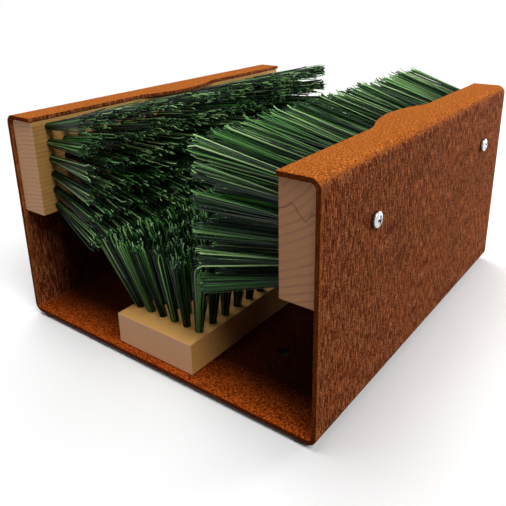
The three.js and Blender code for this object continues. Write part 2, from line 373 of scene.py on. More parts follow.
def weathering_steel():
    """Weathering steel, hot rolled and left out in the rain: a dull crust of oxide.

    Level faces hold water and grow orange, powdery rust with dark pits. Upright faces
    drain, so they turn brown with thin run marks. No bare metal shows.
    """
    sheet = bpy.context.scene.scraper_sheet
    low, high = sheet_box()
    material, tree, surface = new_material("weathering_steel")
    place = add_node(tree, "TexCoord").outputs["Object"]
    at = add_node(tree, "SeparateXYZ", {0: place}).outputs
    normal = add_node(tree, "NewGeometry").outputs["Normal"]
    facing = add_node(tree, "SeparateXYZ", {0: normal}).outputs

    # Grains about 0.6 mm across, with finer pits in them
    grains = add_node(
        tree, "TexNoise", {"Vector": place, "Scale": 900, "Detail": 3, "Roughness": 0.65},
    ).outputs["Fac"]
    orange = add_node(
        tree, "ValToRGB", {"Fac": grains},
        stops=(
            (0.32, linear("#4e2106")), (0.43, tuple(sheet.rust_dark)),
            (0.54, tuple(sheet.rust)), (0.66, linear("#dd9148")),
        ),
    ).outputs["Color"]

    # The floor is sheltered by the brushes and stays redder, with more dark pits
    red = add_node(
        tree, "ValToRGB", {"Fac": grains},
        stops=(
            (0.34, linear("#3c1605")), (0.45, linear("#772f09")),
            (0.55, tuple(sheet.rust_sheltered)), (0.66, linear("#c4642a")),
        ),
    ).outputs["Color"]
    floor_top = low.z + sheet.thickness
    sheltered = add_node(
        tree, "MapRange",
        {"Value": at["Z"], "From Min": floor_top + 4 * MM, "From Max": floor_top + 1 * MM},
    ).outputs["Result"]
    rust = add_node(
        tree, "Mix", {MIX_FACTOR: sheltered, MIX_A: orange, MIX_B: red}, data_type="RGBA",
    ).outputs[MIX_RESULT]

    # Run marks about 0.6 mm wide and 4 mm tall, mixed with finer specks
    stretched = add_node(
        tree, "Mapping", {"Vector": place, "Scale": (1.0, 1.0, 0.14)},
    ).outputs["Vector"]
    drips = add_node(
        tree, "TexNoise", {"Vector": stretched, "Scale": 900, "Detail": 2, "Roughness": 0.6},
    ).outputs["Fac"]
    specks = add_node(
        tree, "TexNoise", {"Vector": place, "Scale": 1250, "Detail": 1, "Roughness": 0.5},
    ).outputs["Fac"]
    runs = add_node(
        tree, "Mix", {MIX_FACTOR: 0.4, NUMBER_A: drips, NUMBER_B: specks}, data_type="FLOAT",
    ).outputs[NUMBER_RESULT]
    streaks = add_node(
        tree, "ValToRGB", {"Fac": runs},
        stops=(
            (0.42, tuple(sheet.patina_dark)), (0.48, linear("#78391a")),
            (0.53, tuple(sheet.patina)), (0.59, linear("#cb8050")),
        ),
    ).outputs["Color"]

    # Patches about 15 mm across, some greyer and some redder
    patches = add_node(
        tree, "TexNoise", {"Vector": place, "Scale": 34, "Detail": 3, "Roughness": 0.55},
    ).outputs["Fac"]
    tint = add_node(
        tree, "ValToRGB", {"Fac": patches},
        stops=((0.36, linear("#e0dccb")), (0.50, linear("#ffffff")), (0.66, linear("#ffe9d8"))),
    ).outputs["Color"]

    # Level faces rust, and a line of rust follows the cut edges down the walls
    level = add_node(tree, "Math", {0: facing["Z"]}, operation="ABSOLUTE").outputs[0]
    how_level = add_node(
        tree, "MapRange", {"Value": level, "From Min": 0.25, "From Max": 0.85},
        interpolation_type="SMOOTHSTEP",
    ).outputs["Result"]
    from_middle = add_node(tree, "Math", {0: at["Y"]}, operation="ABSOLUTE").outputs[0]
    near_edge = add_node(
        tree, "MapRange",
        {
            "Value": from_middle, "From Min": high.y - 3 * MM, "From Max": high.y - 1 * MM,
            "To Max": 0.55,
        },
    ).outputs["Result"]
    rusty = add_node(tree, "Math", {0: how_level, 1: near_edge}, operation="MAXIMUM").outputs[0]

    # Painted shade: away from both ends the inside is darkened, where the lips and brushes shade
    # it;
    # only part of this is the dark mill scale that rain leaves dry.
    # Each axis has the distances from the middle at which this darkening starts and is full.
    inner_x = high.x - sheet.thickness
    lip_underside = high.z - sheet.thickness
    masks = (
        ("X", inner_x + 0.9 * MM, inner_x + 0.3 * MM),
        ("Y", high.y - 3 * MM, high.y - 34 * MM),
        ("Z", lip_underside + 0.6 * MM, lip_underside),
    )
    dry_and_shaded = 1.0
    for axis, clear_at, darkest_at in masks:
        distance = add_node(tree, "Math", {0: at[axis]}, operation="ABSOLUTE").outputs[0]
        share = add_node(
            tree, "MapRange", {"Value": distance, "From Min": clear_at, "From Max": darkest_at},
        ).outputs["Result"]
        dry_and_shaded = add_node(tree, "Math", {0: dry_and_shaded, 1: share}, operation="MULTIPLY").outputs[0]

    # The cut ends keep a darker scale from the laser
    along = add_node(tree, "Math", {0: facing["Y"]}, operation="ABSOLUTE").outputs[0]
    cut_end = add_node(
        tree, "MapRange", {"Value": along, "From Min": 0.5, "From Max": 0.9},
    ).outputs["Result"]

    # Each layer has its share, its colour and the way it is laid over those before it
    layers = (
        (0.6, tint, "MULTIPLY"),
        (rusty, rust, "MIX"),
        # Painted shade of the inside, partly its dry mill scale
        (dry_and_shaded, tuple(sheet.scale_and_shade), "MULTIPLY"),
        (cut_end, linear("#a08e76"), "MULTIPLY"),
    )
    colour = streaks
    for share, layer, blend in layers:
        colour = add_node(
            tree, "Mix", {MIX_FACTOR: share, MIX_A: colour, MIX_B: layer},
            data_type="RGBA", blend_type=blend,
        ).outputs[MIX_RESULT]
    crust = add_node(tree, "Math", {0: grains, 1: runs}, operation="ADD").outputs[0]
    bump = add_node(
        tree, "Bump", {"Height": crust, "Strength": 0.45, "Distance": 0.25 * MM},
    ).outputs["Normal"]
    shader = add_node(
        tree, "BsdfPrincipled",
        {"Base Color": colour, "Roughness": 0.92, "Specular IOR Level": 0.05, "Normal": bump},
    )
    tree.links.new(shader.outputs[0], surface)
    return material


# The crack in the right back zigzags: the width of an arm, its rise for each step across,
# how far it wanders, and the distances from its middle at which it ends and is darkest
CHECK_ARM = 8 * MM
CHECK_SLOPE = 0.5
CHECK_WANDER = 24 * MM
CHECK_EDGE = 0.9 * MM
CHECK_CORE = 0.2 * MM


def add_check(tree, place, wobble, corner):
    """How dark a zigzag crack is, up to a half; corner is the X and Z of a low corner."""
    at = add_node(tree, "SeparateXYZ", {0: place}).outputs
    across = add_node(tree, "Math", {0: at["X"], 1: corner[0]}, operation="SUBTRACT").outputs[0]
    arm = add_node(tree, "Math", {0: across, 1: CHECK_ARM}, operation="PINGPONG").outputs[0]
    bent = add_node(
        tree, "Math", {0: wobble, 1: CHECK_WANDER, 2: corner[1] - CHECK_WANDER / 2},
        operation="MULTIPLY_ADD",
    ).outputs[0]
    line = add_node(
        tree, "Math", {0: arm, 1: CHECK_SLOPE, 2: bent}, operation="MULTIPLY_ADD",
    ).outputs[0]
    off = add_node(tree, "Math", {0: at["Z"], 1: line}, operation="SUBTRACT").outputs[0]
    far = add_node(tree, "Math", {0: off}, operation="ABSOLUTE").outputs[0]
    return add_node(
        tree, "MapRange",
        {"Value": far, "From Min": CHECK_EDGE, "From Max": CHECK_CORE, "To Max": 0.5},
    ).outputs["Result"]


def beech(name, trunk, ring_width, ring_strength, shade, check=None):
    """Planed beech, left raw: pale tan, with growth rings and short dark flecks.

    trunk is where the middle of the trunk lay, in X and Z, so the end face shows the
    rings' curve and the long faces show them as faint lines. check is the X and Z of a
    low corner of a crack in the front end.
    """
    back = bpy.context.scene.scraper_back
    material, tree, surface = new_material(name)
    place = add_node(tree, "TexCoord").outputs["Object"]
    centred = add_node(
        tree, "Mapping", {"Vector": place, "Location": (-trunk[0], 0, -trunk[1])},
    ).outputs["Vector"]
    # The trunk grew along Y, so its pattern changes slowly that way
    trunk_place = add_node(
        tree, "VectorMath", {0: centred, 1: (1, 0.03, 1)}, operation="MULTIPLY",
    ).outputs["Vector"]
    wobble = add_node(
        tree, "TexNoise", {"Vector": trunk_place, "Scale": 45, "Detail": 2},
    ).outputs["Fac"]
    radius = add_node(tree, "VectorMath", {0: trunk_place}, operation="LENGTH").outputs["Value"]
    bent = add_node(
        tree, "Math", {0: wobble, 1: 3 * MM, 2: radius}, operation="MULTIPLY_ADD",
    ).outputs[0]
    rings = add_node(
        tree, "Math", {0: bent, 1: 2 * math.pi / ring_width}, operation="MULTIPLY",
    ).outputs[0]
    wave = add_node(tree, "Math", {0: rings}, operation="SINE").outputs[0]
    soft = add_node(
        tree, "MapRange", {"Value": wave, "From Min": 0.2, "From Max": 1.0},
        interpolation_type="SMOOTHSTEP",
    ).outputs["Result"]
    # A ring's strength changes from year to year, 2.5 mm apart, and from place to place
    year = add_node(tree, "Math", {0: bent, 1: 2.5 * MM}, operation="DIVIDE").outputs[0]
    yearly = add_node(
        tree, "TexNoise", {"W": year, "Scale": 1.0, "Detail": 1}, noise_dimensions="1D",
    ).outputs["Fac"]
    places = add_node(
        tree, "TexNoise", {"Vector": place, "Scale": 28, "Detail": 2},
    ).outputs["Fac"]
    # Flecks about 0.4 mm across and 3 mm long
    along = add_node(
        tree, "Mapping", {"Vector": place, "Scale": (1.0, 0.12, 1.0)},
    ).outputs["Vector"]
    flecks = add_node(
        tree, "TexNoise", {"Vector": along, "Scale": 1500, "Detail": 2, "Roughness": 0.6},
    ).outputs["Fac"]
    fleck_share = add_node(
        tree, "MapRange", {"Value": flecks, "From Min": 0.5, "From Max": 0.75, "To Max": 0.35},
    ).outputs["Result"]
    # The rings show most on the two ends
    normal = add_node(tree, "NewGeometry").outputs["Normal"]
    facing = add_node(tree, "SeparateXYZ", {0: normal}).outputs["Y"]
    end_share = add_node(tree, "Math", {0: facing}, operation="ABSOLUTE").outputs[0]
    strength = add_node(
        tree, "MapRange",
        {"Value": end_share, "To Min": 0.35 * ring_strength, "To Max": ring_strength},
    ).outputs["Result"]
    ring_share = soft
    for factor in (yearly, places, strength):
        ring_share = add_node(
            tree, "Math", {0: ring_share, 1: factor}, operation="MULTIPLY",
        ).outputs[0]
    dark_share = add_node(
        tree, "Math", {0: ring_share, 1: fleck_share}, operation="ADD", use_clamp=True,
    ).outputs[0]
    # End grain is pinker
    pink_share = add_node(tree, "Math", {0: end_share, 1: 0.6}, operation="MULTIPLY").outputs[0]
    layers = [
        (dark_share, tuple(back.wood_dark), "MIX"),
        (pink_share, linear("#deab90"), "MIX"),
        (1.0, linear(shade), "MULTIPLY"),
    ]
    if check:
        crack = add_check(tree, place, wobble, check)
        front = add_node(
            tree, "Math", {0: facing, 1: -1.0}, operation="MULTIPLY", use_clamp=True,
        ).outputs[0]
        cracked = add_node(tree, "Math", {0: crack, 1: front}, operation="MULTIPLY").outputs[0]
        layers.append((cracked, linear("#4a3020"), "MIX"))
    colour = tuple(back.wood)
    for share, layer, blend in layers:
        colour = add_node(
            tree, "Mix", {MIX_FACTOR: share, MIX_A: colour, MIX_B: layer},
            data_type="RGBA", blend_type=blend,
        ).outputs[MIX_RESULT]
    bump = add_node(
        tree, "Bump", {"Height": dark_share, "Strength": 0.25, "Distance": 0.1 * MM},
    ).outputs["Normal"]
    shader = add_node(
        tree, "BsdfPrincipled",
        {"Base Color": colour, "Roughness": 0.62, "Specular IOR Level": 0.35, "Normal": bump},
    )
    tree.links.new(shader.outputs[0], surface)
    return material


def filament_green():
    """Extruded polypropylene filament: smooth and glossy, so light runs along it."""
    tufts = bpy.context.scene.scraper_tufts
    material, tree, surface = new_material("green_filament")
    # Painted light and shade: a filament's random value runs from near black, as if shaded, to
    # pale, as if glinting
    painted_light = add_node(tree, "Attribute", attribute_name="painted_light").outputs["Fac"]
    colour = add_node(
        tree, "ValToRGB", {"Fac": painted_light},
        stops=(
            (0.0, linear("#030805")), (0.62, tuple(tufts.green)), (0.80, linear("#559d46")),
            (1.0, linear("#ccf6a6")),
        ),
    ).outputs["Color"]
    # Painted shade: each filament darkens towards its root, deep in the tuft, and keeps its
    # colour towards its outer end
    far = add_node(tree, "Attribute", attribute_name="along").outputs["Fac"]
    root_shade = add_node(
        tree, "MapRange", {"Value": far, "From Min": 0.2, "From Max": 0.95, "To Min": 0.35},
    ).outputs["Result"]
    colour = add_node(
        tree, "Mix", {MIX_FACTOR: 1.0, MIX_A: colour, MIX_B: root_shade},
        data_type="RGBA", blend_type="MULTIPLY",
    ).outputs[MIX_RESULT]
    shader = add_node(
        tree, "BsdfPrincipled",
        {"Base Color": colour, "Roughness": 0.36, "Specular IOR Level": 0.15},
    )
    tree.links.new(shader.outputs[0], surface)
    return material


def filament_end():
    """The same plastic where it was trimmed: a dull, paler, crushed end."""
    tufts = bpy.context.scene.scraper_tufts
    material, tree, surface = new_material("cut_filament_end")
    # Painted light and shade: a cut end follows its filament's random value from dark to pale;
    # its paleness is partly the real crushed end, partly a painted highlight
    painted_light = add_node(tree, "Attribute", attribute_name="painted_light").outputs["Fac"]
    colour = add_node(
        tree, "ValToRGB", {"Fac": painted_light},
        stops=((0.0, linear("#1c3021")), (0.6, linear("#36553a")), (1.0, tuple(tufts.cut_end))),
    ).outputs["Color"]
    shader = add_node(
        tree, "BsdfPrincipled",
        {"Base Color": colour, "Roughness": 0.7, "Specular IOR Level": 0.2},
    )
    tree.links.new(shader.outputs[0], surface)
    return material


def bright_zinc():
    """Electroplated zinc on a rolled screw: bright and clouded, with painted shade and some grime
    in its slots and low on its rim.
    """
    screw = bpy.context.scene.scraper_screw
    material, tree, surface = new_material("bright_zinc")
    place = add_node(tree, "TexCoord").outputs["Object"]
    clouds = add_node(
        tree, "TexNoise", {"Vector": place, "Scale": 700, "Detail": 3},
    ).outputs["Fac"]
    roughness = add_node(
        tree, "MapRange", {"Value": clouds, "To Min": 0.16, "To Max": 0.34},
    ).outputs["Result"]
    plated = add_node(
        tree, "Mix",
        {MIX_FACTOR: clouds, MIX_A: tuple(screw.zinc), MIX_B: linear("#b9bcbf")},
        data_type="RGBA",
    ).outputs[MIX_RESULT]
    # Painted shade with some grime, darkest in the slots and low on the rim
    grime_and_shade = add_node(tree, "Attribute", attribute_name="grime_and_shade").outputs["Fac"]
    colour = add_node(
        tree, "Mix", {MIX_FACTOR: grime_and_shade, MIX_A: plated, MIX_B: linear("#1c1614")},
        data_type="RGBA",
    ).outputs[MIX_RESULT]
    shader = add_node(
        tree, "BsdfPrincipled",
        {"Base Color": colour, "Metallic": 1.0, "Roughness": roughness},
    )
    tree.links.new(shader.outputs[0], surface)
    return material


def black_rubber():
    """Moulded rubber: matt black with a fine grain that scatters light."""
    foot = bpy.context.scene.scraper_foot
    material, tree, surface = new_material("black_rubber")
    place = add_node(tree, "TexCoord").outputs["Object"]
    grain = add_node(
        tree, "TexNoise", {"Vector": place, "Scale": 1500, "Detail": 2},
    ).outputs["Fac"]
    colour = add_node(
        tree, "Mix",
        {MIX_FACTOR: grain, MIX_A: tuple(foot.rubber), MIX_B: linear("#2a2725")},
        data_type="RGBA",
    ).outputs[MIX_RESULT]
    bump = add_node(
        tree, "Bump", {"Height": grain, "Strength": 0.3, "Distance": 0.1 * MM},
    ).outputs["Normal"]
    shader = add_node(
        tree, "BsdfPrincipled", {"Base Color": colour, "Roughness": 0.85, "Normal": bump},
    )
    tree.links.new(shader.outputs[0], surface)
    return material


# Folded sheet

BEND_SEGMENTS = 10
FILLET_STEPS = 8
CREST_STEPS = 24


def sheet_blank():
    """The channel before its mouth and holes are cut: a bent strip with a wall thickness."""
    sheet = bpy.context.scene.scraper_sheet
    low, high = sheet_box()
    reach = high.x / 2
    bm = bmesh.new()
    corners = [
        (-reach, high.z), (low.x, high.z), (low.x, low.z),
        (high.x, low.z), (high.x, high.z), (reach, high.z),
    ]
    line = [bm.verts.new((x, low.y, z)) for x, z in corners]
    for pair in zip(line, line[1:]):
        bm.edges.new(pair)
    bmesh.ops.bevel(
        bm, geom=line[1:-1], offset=sheet.outer_bend, segments=BEND_SEGMENTS,
        affect="VERTICES", profile=0.5, material=-1,
    )
    grown = bmesh.ops.extrude_edge_only(bm, edges=bm.edges)
    end = [item for item in grown["geom"] if isinstance(item, bmesh.types.BMVert)]
    bmesh.ops.translate(bm, verts=end, vec=(0, high.y - low.y, 0))
    bmesh.ops.recalc_face_normals(bm, faces=bm.faces)
    # The strip is the sheet's outside, so the lips face up before it gets its thickness
    lip = max(bm.faces, key=lambda face: face.calc_center_median().z)
    if lip.normal.z < 0:
        bmesh.ops.reverse_faces(bm, faces=bm.faces)
    bmesh.ops.solidify(bm, geom=bm.faces[:], thickness=sheet.thickness)
    bmesh.ops.recalc_face_normals(bm, faces=bm.faces)
    return bm


def add_lip_edge(bm, start, side):
    """Draws one lip's edge from its start: a fillet, the hump's crest and a fillet."""
    sheet = bpy.context.scene.scraper_sheet
    edge_x = start.co.x
    turn = math.acos(1 - sheet.hump_height / (sheet.hump_crest + sheet.hump_fillet))
    half = (sheet.hump_crest + sheet.hump_fillet) * math.sin(turn)
    fillet_x = edge_x - side * sheet.hump_fillet
    crest_x = edge_x - side * (sheet.hump_height - sheet.hump_crest)
    foot = bm.verts.new((edge_x, -side * half, start.co.z))
    bm.edges.new((start, foot))
    point = arc_points(bm, foot, (fillet_x, -side * half, start.co.z), turn, FILLET_STEPS)
    point = arc_points(bm, point, (crest_x, 0, start.co.z), -2 * turn, CREST_STEPS)
    return arc_points(bm, point, (fillet_x, side * half, start.co.z), turn, FILLET_STEPS)


def mouth_cutter():
    """The space between the lips as a closed solid, drawn from above and pulled up."""
    low, high = sheet_box()
    thickness = bpy.context.scene.scraper_sheet.thickness
    lip_x, _ = lip_edges()
    beyond = 1 * MM
    base = high.z - thickness - beyond
    bm = bmesh.new()
    ends = []
    for side in (1, -1):
        start = bm.verts.new((side * lip_x, side * (low.y - beyond), base))
        last = add_lip_edge(bm, start, side)
        finish = bm.verts.new((side * lip_x, side * (high.y + beyond), base))
        bm.edges.new((last, finish))
        ends.append((start, finish))
    bm.edges.new((ends[0][1], ends[1][0]))
    bm.edges.new((ends[1][1], ends[0][0]))
    bmesh.ops.remove_doubles(bm, verts=bm.verts, dist=SAME_POINT)
    bmesh.ops.contextual_create(bm, geom=bm.edges[:])
    grown = bmesh.ops.extrude_face_region(bm, geom=bm.faces[:], use_keep_orig=True)
    top = [item for item in grown["geom"] if isinstance(item, bmesh.types.BMVert)]
    bmesh.ops.translate(bm, verts=top, vec=(0, 0, thickness + 2 * beyond))
    bmesh.ops.recalc_face_normals(bm, faces=bm.faces)
    return bm


def lip_edges():
    """The X of both lips' straight edges: each is flush with the face of its wooden back."""
    thickness = bpy.context.scene.scraper_back.thickness
    low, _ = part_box("left_brush_block")
    _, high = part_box("right_brush_block")
    return high.x - thickness, low.x + thickness


def add_sheet_holes(bm):
    """Adds the fixing holes and the screws' clearance holes to the sheet's cutter."""
    sheet = bpy.context.scene.scraper_sheet
    low, _ = sheet_box()
    beyond = 2 * MM
    for x in (-sheet.fixing_x, sheet.fixing_x):
        for y in (-sheet.fixing_y, sheet.fixing_y):
            start = (x, y, low.z - beyond)
            end = (x, y, low.z + sheet.thickness + beyond)
            add_cylinder(bm, sheet.fixing_hole, start, end)
    for name in screw_nodes():
        seat, outwards = screw_seat(name)
        inside = seat - outwards * (sheet.thickness + beyond)
        add_cylinder(bm, sheet.screw_hole, seat + outwards * beyond, inside)


class SCRAPER_OT_sheet(bpy.types.Operator):
    """Fold the sheet, cut its mouth and holes, and round its cut edges"""

    bl_idname = "scraper.sheet"
    bl_label = "Folded sheet"

    def execute(self, context):
        sheet = context.scene.scraper_sheet
        cutter = mouth_cutter()
        add_sheet_holes(cutter)
        bm = cut_from(sheet_blank(), cutter)
        sharp = [
            edge for edge in bm.edges
            if edge.is_manifold and edge.calc_face_angle() > ROUNDED_EDGE
        ]
        bmesh.ops.bevel(
            bm, geom=sharp, offset=sheet.cut_edge, segments=2, affect="EDGES",
            profile=0.5, material=-1, clamp_overlap=True,
        )
        piece = finish_piece(bm, "folded_sheet", [weathering_steel()])
        weigh_normals(piece)
        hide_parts("steel_body")
        return {"FINISHED"}


def weigh_normals(piece):
    """Keeps broad faces flat beside their rounded edges."""
    weighted = piece.modifiers.new("Weighted normals", "WEIGHTED_NORMAL")
    weighted.keep_sharp = True


# Wooden backs

# What beech() needs for each back: its trunk's middle in X and Z, the width and strength of
# its rings, its shade, and where it is cracked
TRUNKS = {
    "left": ((-97 * MM, 0), 3.1 * MM, 3.0, "#ffffff"),
    "right": ((77 * MM, 193 * MM), 4.6 * MM, 3.4, "#d6c9bb", (120 * MM, 139.5 * MM)),
    "bottom": ((-10 * MM, -190 * MM), 2.6 * MM, 0.3, "#ffffff"),
}

# How much wider the holes are than the tufts and screws, and deeper than the screws
TUFT_CLEARANCE = 0.3 * MM
SCREW_CLEARANCE = 0.6 * MM
SCREW_HOLE_SPARE = 2 * MM


class SCRAPER_OT_backs(bpy.types.Operator):
    """Saw and drill the three wooden brush backs"""

    bl_idname = "scraper.backs"
    bl_label = "Wooden backs"

    def execute(self, context):
        for side in ("left", "right", "bottom"):
            bm = cut_from(back_block(side), tuft_hole_cutter(side))
            wood = beech(side + "_beech", *TRUNKS[side])
            piece = finish_piece(bm, side + "_wooden_back", [wood], SHOWN_EDGE)
            weigh_normals(piece)
            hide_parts(side + "_brush_block")
        return {"FINISHED"}


def back_block(side):
    """A planed block, with the edge that meets a bend eased to clear it."""
    back = bpy.context.scene.scraper_back
    width, length = back_size(side)
    bm = bmesh.new()
    half = Vector((width / 2, length / 2, 0))
    add_block(bm, -half - Vector((0, 0, back.thickness)), half)
    # The bottom back meets no bend
    eased_x = {"left": -1, "right": 1, "bottom": 0}[side] * width / 2
    eased = [
        edge for edge in bm.edges
        if eased_x and all(abs(v.co.x - eased_x) < MM and v.co.z < -MM for v in edge.verts)
    ]
    if eased:
        bmesh.ops.bevel(
            bm, geom=eased, offset=back.eased_corner, segments=6, affect="EDGES",
            profile=0.5, material=-1,
        )
    sharp = [edge for edge in bm.edges if edge.calc_face_angle() > ROUNDED_EDGE]
    bmesh.ops.bevel(
        bm, geom=sharp, offset=back.corner, segments=2, affect="EDGES",
        profile=0.5, material=-1,
    )
    bm.transform(brush_frame(side))
    return bm


def tuft_hole_cutter(side):
    """All the drilled holes of one back: one for each tuft, and two for its screws."""
    back = bpy.context.scene.scraper_back
    tufts = bpy.context.scene.scraper_tufts
    screw = bpy.context.scene.scraper_screw
    cutter = bmesh.new()
    for root, _, _ in tuft_grid(side):
        start = root - Vector((0, 0, back.hole_depth))
        end = root + Vector((0, 0, 1 * MM))
        add_cylinder(cutter, tufts.hole + TUFT_CLEARANCE, start, end, segments=16)
    cutter.transform(brush_frame(side))
    to_face = brush_frame(side).to_3x3() @ Vector((0, 0, 1))
    outside = brush_frame(side).translation - to_face * (back.thickness + 1 * MM)
    depth = screw.reach + SCREW_HOLE_SPARE
    for name in screw_nodes():
        if name.startswith(side):
            low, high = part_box(name)
            middle = (low + high) / 2
            start = middle - to_face * (middle - outside).dot(to_face)
            hole = screw.shank + SCREW_CLEARANCE
            add_cylinder(cutter, hole, start, start + to_face * depth)
    return cutter


# Bristles

FILAMENT_SIDES = 5
FILAMENT_STEPS = (0, 0.5, 0.94, 1)
TUFT_KINDS = 12
GOLDEN_ANGLE = math.pi * (3 - math.sqrt(5))
SHAPE_SEED = 7
PAINTED_LIGHT_SEED = 5

# How far a filament's tip strays, its middle bows and its end curls, at random
STRAY = 1 * MM
BOW = 0.25 * MM
CURL = 0.9 * MM

# A few filaments stray much further
WILD_SHARE = 0.04
WILD_FACTOR = 2.2

# The trim leaves the filaments a little uneven: the mean, spread and limits of its error
TRIM_MEAN = -0.4
TRIM_SPREAD = 0.7
TRIM_LIMITS = (-2, 1)

# How much of its hole's depth a tuft fills
HOLE_FILLED = 0.8

# In radians: how far a filament strays round its spiral, and the spread of a tuft's lean
SPIRAL_STRAY = 0.3
LEAN_SPREAD = 0.012


def add_filament(bm, radius, points, painted_light):
    """One filament: a ring carried from point to point, closed at both ends.

    Its vertices keep the filament's painted light, from shade to glint, and how far along it they
    stand, both from 0 to 1.
    """
    far = bm.verts.layers.float["along"]
    shade = bm.verts.layers.float["painted_light"]
    ring = bmesh.ops.create_circle(bm, segments=FILAMENT_SIDES, radius=radius)["verts"]
    for vert in ring:
        vert[shade] = painted_light
    bmesh.ops.translate(bm, verts=ring, vec=points[0])
    # A dict keeps the edges in the same order on each run, and a set doesn't
    edges = list(dict.fromkeys(edge for vert in ring for edge in vert.link_edges))
    bmesh.ops.contextual_create(bm, geom=edges)
    length = (points[-1] - points[0]).length
    for before, after in zip(points, points[1:]):
        grown = bmesh.ops.extrude_edge_only(bm, edges=edges)["geom"]
        ring = [item for item in grown if isinstance(item, bmesh.types.BMVert)]
        edges = [item for item in grown if isinstance(item, bmesh.types.BMEdge)]
        bmesh.ops.translate(bm, verts=ring, vec=after - before)
        for vert in ring:
            vert[far] = (after - points[0]).length / length
            vert[shade] = painted_light
    tip_cap = bmesh.ops.contextual_create(bm, geom=edges)["faces"]
    for face in tip_cap:
        face.material_index = 1


def random_shift(dice, size):
    """A shift across a tuft, near this size each way."""
    return Vector((dice.gauss(0, 1), dice.gauss(0, 1), 0)) * size


def make_tuft(name, dice, painted_lights):
    """A tuft standing on Z = 0 along +Z: filaments packed in a hole and fanned at the tip."""
    tufts = bpy.context.scene.scraper_tufts
    back = bpy.context.scene.scraper_back
    bm = bmesh.new()
    bm.verts.layers.float.new("along")
    bm.verts.layers.float.new("painted_light")
    radius = tufts.filament / 2
    packed = tufts.hole / 2 - radius
    fanned = tufts.spread / 2 - radius
    shortest, longest = TRIM_LIMITS
    for index in range(tufts.count):
        # A spiral by the golden angle gives every filament the same room
        share = math.sqrt((index + 0.5) / tufts.count)
        angle = index * GOLDEN_ANGLE + dice.uniform(-SPIRAL_STRAY, SPIRAL_STRAY)
        outwards = Vector((math.cos(angle), math.sin(angle), 0))
        stray = random_shift(dice, STRAY)
        if dice.random() < WILD_SHARE:
            stray *= WILD_FACTOR
        trim = max(shortest, min(longest, dice.gauss(TRIM_MEAN, TRIM_SPREAD)))
        height = tufts.length + trim * MM
        root = outwards * packed * share - Vector((0, 0, HOLE_FILLED * back.hole_depth))
        tip = outwards * fanned * share + stray + Vector((0, 0, height))
        bow = random_shift(dice, BOW)
        points = []
        for along in FILAMENT_STEPS:
            points.append(root.lerp(tip, along) + bow * 4 * along * (1 - along))
        points[-1] += random_shift(dice, CURL)
        add_filament(bm, radius, points, painted_lights.random())
    bmesh.ops.recalc_face_normals(bm, faces=bm.faces)
    mesh = bpy.data.meshes.new(name)
    bm.to_mesh(mesh)
    bm.free()
    return mesh


def lighten_tuft(tuft, share):
    """Lightens a tuft as painted light: every painted light value goes the same share of its way
    to the palest.
    """
    layer = tuft.attributes["painted_light"].data
    painted_lights = [0.0] * len(layer)
    layer.foreach_get("value", painted_lights)
    layer.foreach_set("value", [painted_light + share * (1 - painted_light) for painted_light in painted_lights])


class SCRAPER_OT_bristles(bpy.types.Operator):
    """Fill the three wooden backs with tufts of green filament"""

    bl_idname = "scraper.bristles"
    bl_label = "Bristles"

    def execute(self, context):
        tufts = context.scene.scraper_tufts
        dice = random.Random(SHAPE_SEED)
        painted_lights = random.Random(PAINTED_LIGHT_SEED)
        kinds = [make_tuft(f"tuft_kind_{index}", dice, painted_lights) for index in range(TUFT_KINDS)]
        materials = [filament_green(), filament_end()]
        for side in ("left", "right", "bottom"):
            row_splay, column_splay = tufts.row_splay, tufts.column_splay
            if side == "bottom":
                row_splay, column_splay = tufts.bottom_row_splay, tufts.bottom_column_splay
            bm = bmesh.new()
            for root, across, along in tuft_grid(side):
                # Across is below zero in the left brush's upper rows and the right's lower
                share = max(0, -across)
                splay = row_splay
                if side == "left":
                    # A quarter of the sag shows at the front end, and five quarters at the back
                    splay -= tufts.row_sag * share * (1.5 + along) / 2
                elif side == "right":
                    splay += tufts.row_droop * share
                lean = Vector((
                    math.tan(across * splay + dice.gauss(0, LEAN_SPREAD)),
                    math.tan(along * column_splay + dice.gauss(0, LEAN_SPREAD)),
                    1,
                ))
                tilt = lean.to_track_quat("Z", "Y").to_matrix().to_4x4()
                turn = Matrix.Rotation(dice.uniform(0, 2 * math.pi), 4, "Z")
                tuft = dice.choice(kinds).copy()
                # Painted light on the right brush's upper rows
                if side == "right":
                    lighten_tuft(tuft, tufts.top_row_light * max(0, across))
                tuft.transform(brush_frame(side) @ Matrix.Translation(root) @ tilt @ turn)
                bm.from_mesh(tuft)
                bpy.data.meshes.remove(tuft)
            piece = finish_piece(bm, side + "_tufts", materials)
            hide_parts(side + "_bristles")
        for mesh in kinds:
            bpy.data.meshes.remove(mesh)
        return {"FINISHED"}


# Screws

# How far round each screw came tight, in degrees, and its gap to the sheet
SCREW_TURNS = (25, 40, 70, 10, 55, 85)
SEAT_GAP = 0.25 * MM

# The shank: its point, and what it bridges besides the sheet
POINT_LENGTH = 5 * MM
SHANK_SPARE = 0.6 * MM

# The head: the upright share of its height, the chamfer under it and the steps of its dome
RIM_SHARE = 0.55
HEAD_CHAMFER = 0.15 * MM
DOME_STEPS = 10

# The crossed slots: half their size at the top, their depth, and how they narrow below
SLOT_REACH = 3.6 * MM
SLOT_HALF = 0.85 * MM
SLOT_DEPTH = 1.7 * MM
SLOT_TAPER = (0.55, 0.8)

# Painted shade with some grime fills the slots, which lie inside this share of the head, and
# fades up the rim
RECESS_SHARE = 0.7
RECESS_DEPTH = 0.1 * MM
RIM_SHADE_AND_GRIME = 2.2


